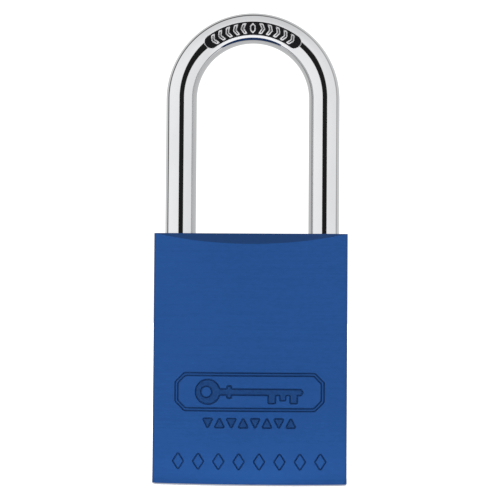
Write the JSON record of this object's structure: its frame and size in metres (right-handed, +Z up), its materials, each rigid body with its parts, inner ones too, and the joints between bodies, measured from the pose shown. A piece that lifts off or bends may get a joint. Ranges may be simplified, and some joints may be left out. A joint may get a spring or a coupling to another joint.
{
  "type": "safety padlock",
  "caption": "Long-shackle safety padlock: blue anodised aluminium body with bowed faces, chromed round shackle, ball locking and a removable pin cylinder.",
  "frame": {"origin": "centre of the cylinder's round face, the lowest face, under the middle of the body", "axes": "+Z up along the shackle's legs, X across the width with the long leg at -X, the front faces -Y"},
  "size_m": [0.0404, 0.0194, 0.0996],
  "materials": {
    "anodised_blue": "blue anodised, finely brushed, satin",
    "shackle_chrome": "bright chrome plate on steel",
    "housing_brass": "turned and milled",
    "plug_brass": "turned, faced",
    "pin_brass": "turned",
    "pin_steel": "ground",
    "ball_steel": "polished bearing steel",
    "spring_steel": "drawn wire and stamped strip",
    "rotor_steel": "sintered, zinc plated",
    "screw_black": "black oxide"
  },
  "bodies": {
    "case": {"lock_body": "anodised_blue", "cylinder_housing": "housing_brass", "chamber_cover": "housing_brass", "cylinder_retaining_screw": "screw_black", "heel_retaining_pin": "pin_steel", "shackle_spring": "spring_steel", "pin_spring_1": "spring_steel", "pin_spring_2": "spring_steel", "pin_spring_3": "spring_steel", "pin_spring_4": "spring_steel", "pin_spring_5": "spring_steel", "pin_spring_6": "spring_steel"},
    "shackle": {"shackle": "shackle_chrome"},
    "plug": {"plug": "plug_brass", "plug_circlip": "spring_steel", "rotor": "rotor_steel"},
    "left_ball": {"left_ball": "ball_steel"},
    "right_ball": {"right_ball": "ball_steel"},
    "key_pin_1": {"key_pin_1": "pin_brass"},
    "key_pin_2": {"key_pin_2": "pin_brass"},
    "key_pin_3": {"key_pin_3": "pin_brass"},
    "key_pin_4": {"key_pin_4": "pin_brass"},
    "key_pin_5": {"key_pin_5": "pin_brass"},
    "key_pin_6": {"key_pin_6": "pin_brass"},
    "driver_pin_1": {"driver_pin_1": "pin_steel"},
    "driver_pin_2": {"driver_pin_2": "pin_steel"},
    "driver_pin_3": {"driver_pin_3": "pin_steel"},
    "driver_pin_4": {"driver_pin_4": "pin_steel"},
    "driver_pin_5": {"driver_pin_5": "pin_steel"},
    "driver_pin_6": {"driver_pin_6": "pin_steel"}
  },
  "joints": [
    {"name": "plug_turn", "type": "hinge", "parent": "case", "child": "plug", "pos_m": [0, 0, 0.017], "axis": [0, 0, 1], "range_deg": [-90, 0]},
    {"name": "shackle_lift", "type": "slide", "parent": "case", "child": "shackle", "axis": [0, 0, 1], "range_m": [0, 0.0145], "deforming": ["shackle_spring"]},
    {"name": "left_ball_slide", "type": "slide", "parent": "case", "child": "left_ball", "axis": [-1, 0, 0], "range_m": [0, 0.00135]},
    {"name": "right_ball_slide", "type": "slide", "parent": "case", "child": "right_ball", "axis": [1, 0, 0], "range_m": [0, 0.00135]},
    {"name": "key_pin_1_drop", "type": "slide", "parent": "plug", "child": "key_pin_1", "axis": [0, -1, 0], "range_m": [0, 0.0033]},
    {"name": "key_pin_2_drop", "type": "slide", "parent": "plug", "child": "key_pin_2", "axis": [0, -1, 0], "range_m": [0, 0.0023]},
    {"name": "key_pin_3_drop", "type": "slide", "parent": "plug", "child": "key_pin_3", "axis": [0, -1, 0], "range_m": [0, 0.0037]},
    {"name": "key_pin_4_drop", "type": "slide", "parent": "plug", "child": "key_pin_4", "axis": [0, -1, 0], "range_m": [0, 0.0019]},
    {"name": "key_pin_5_drop", "type": "slide", "parent": "plug", "child": "key_pin_5", "axis": [0, -1, 0], "range_m": [0, 0.0029]},
    {"name": "key_pin_6_drop", "type": "slide", "parent": "plug", "child": "key_pin_6", "axis": [0, -1, 0], "range_m": [0, 0.0035]},
    {"name": "driver_pin_1_lift", "type": "slide", "parent": "case", "child": "driver_pin_1", "axis": [1, 0, 0], "range_m": [0, 0.0015], "stiffness_N_per_m": 60, "springref_m": -0.003, "deforming": ["pin_spring_1"]},
    {"name": "driver_pin_2_lift", "type": "slide", "parent": "case", "child": "driver_pin_2", "axis": [1, 0, 0], "range_m": [0, 0.0015], "stiffness_N_per_m": 60, "springref_m": -0.003, "deforming": ["pin_spring_2"]},
    {"name": "driver_pin_3_lift", "type": "slide", "parent": "case", "child": "driver_pin_3", "axis": [1, 0, 0], "range_m": [0, 0.0015], "stiffness_N_per_m": 60, "springref_m": -0.003, "deforming": ["pin_spring_3"]},
    {"name": "driver_pin_4_lift", "type": "slide", "parent": "case", "child": "driver_pin_4", "axis": [1, 0, 0], "range_m": [0, 0.0015], "stiffness_N_per_m": 60, "springref_m": -0.003, "deforming": ["pin_spring_4"]},
    {"name": "driver_pin_5_lift", "type": "slide", "parent": "case", "child": "driver_pin_5", "axis": [1, 0, 0], "range_m": [0, 0.0015], "stiffness_N_per_m": 60, "springref_m": -0.003, "deforming": ["pin_spring_5"]},
    {"name": "driver_pin_6_lift", "type": "slide", "parent": "case", "child": "driver_pin_6", "axis": [1, 0, 0], "range_m": [0, 0.0015], "stiffness_N_per_m": 60, "springref_m": -0.003, "deforming": ["pin_spring_6"]}
  ],
  "couplings": [
    {"joint": "left_ball_slide", "follows": "plug_turn", "m_per_rad": -0.00085943},
    {"joint": "right_ball_slide", "follows": "plug_turn", "m_per_rad": -0.00085943},
    {"joint": "key_pin_2_drop", "follows": "key_pin_1_drop", "ratio": 0.69696},
    {"joint": "key_pin_3_drop", "follows": "key_pin_1_drop", "ratio": 1.1212},
    {"joint": "key_pin_4_drop", "follows": "key_pin_1_drop", "ratio": 0.57575},
    {"joint": "key_pin_5_drop", "follows": "key_pin_1_drop", "ratio": 0.87878},
    {"joint": "key_pin_6_drop", "follows": "key_pin_1_drop", "ratio": 1.0606},
    {"joint": "driver_pin_2_lift", "follows": "driver_pin_1_lift", "ratio": 1},
    {"joint": "driver_pin_3_lift", "follows": "driver_pin_1_lift", "ratio": 1},
    {"joint": "driver_pin_4_lift", "follows": "driver_pin_1_lift", "ratio": 1},
    {"joint": "driver_pin_5_lift", "follows": "driver_pin_1_lift", "ratio": 1},
    {"joint": "driver_pin_6_lift", "follows": "driver_pin_1_lift", "ratio": 1}
  ]
}
